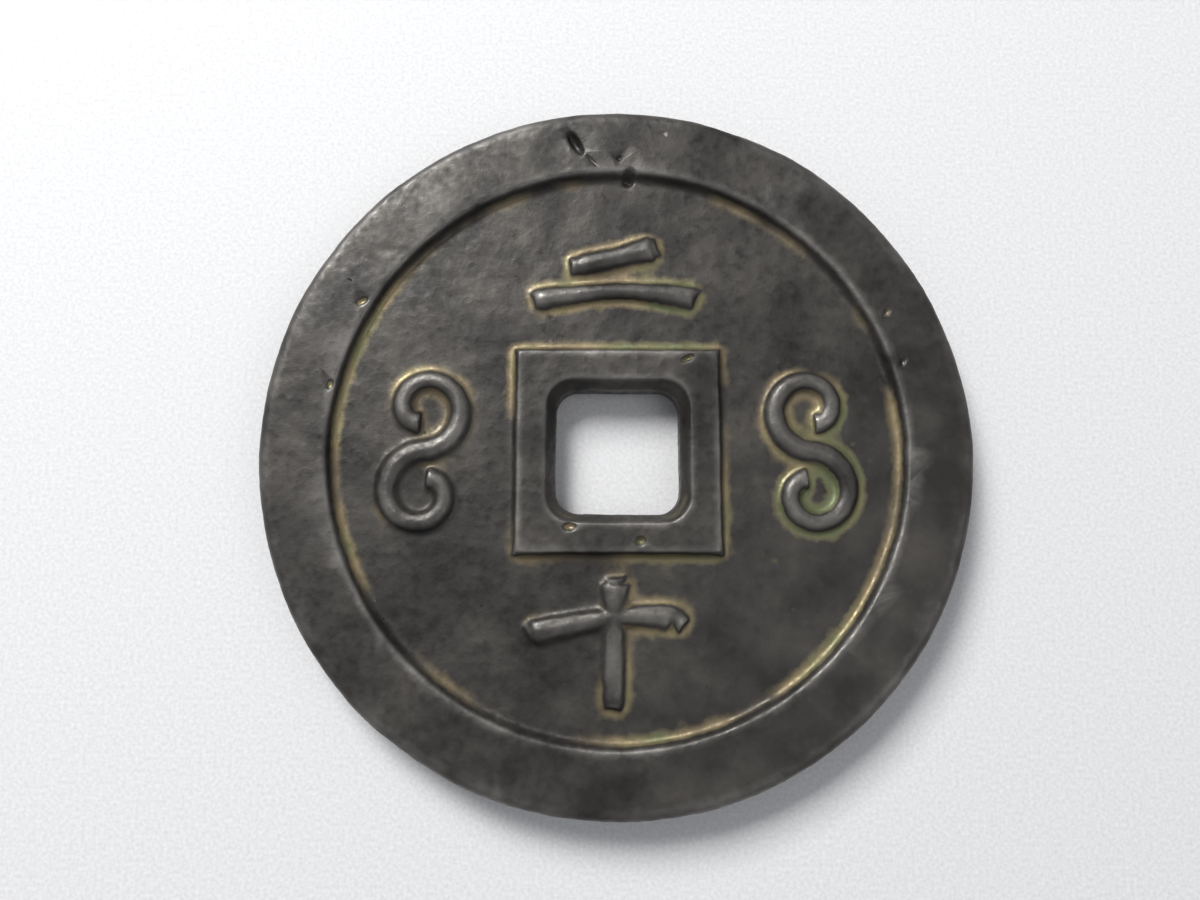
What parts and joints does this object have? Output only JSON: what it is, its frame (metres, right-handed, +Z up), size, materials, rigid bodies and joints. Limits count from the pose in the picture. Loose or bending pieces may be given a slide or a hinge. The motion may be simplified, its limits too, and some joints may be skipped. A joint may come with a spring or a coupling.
{
  "type": "chinese cash coin",
  "caption": "Large cast bronze cash coin with a broad raised rim, a square hole framed by a raised collar, and raised scrolls on sunk fields.",
  "frame": {"origin": "centre of the lower rim's plane, on the coin's axis, where it rests on a table", "axes": "+Z up through the coin's thickness, +Y towards the top of the upper face, +X to its right"},
  "size_m": [0.046, 0.046, 0.0034],
  "materials": {
    "patinated_bronze": "dark, rubbed cast bronze with earth in its low places"
  },
  "bodies": {
    "root": {"coin_body": "patinated_bronze"}
  },
  "joints": []
}
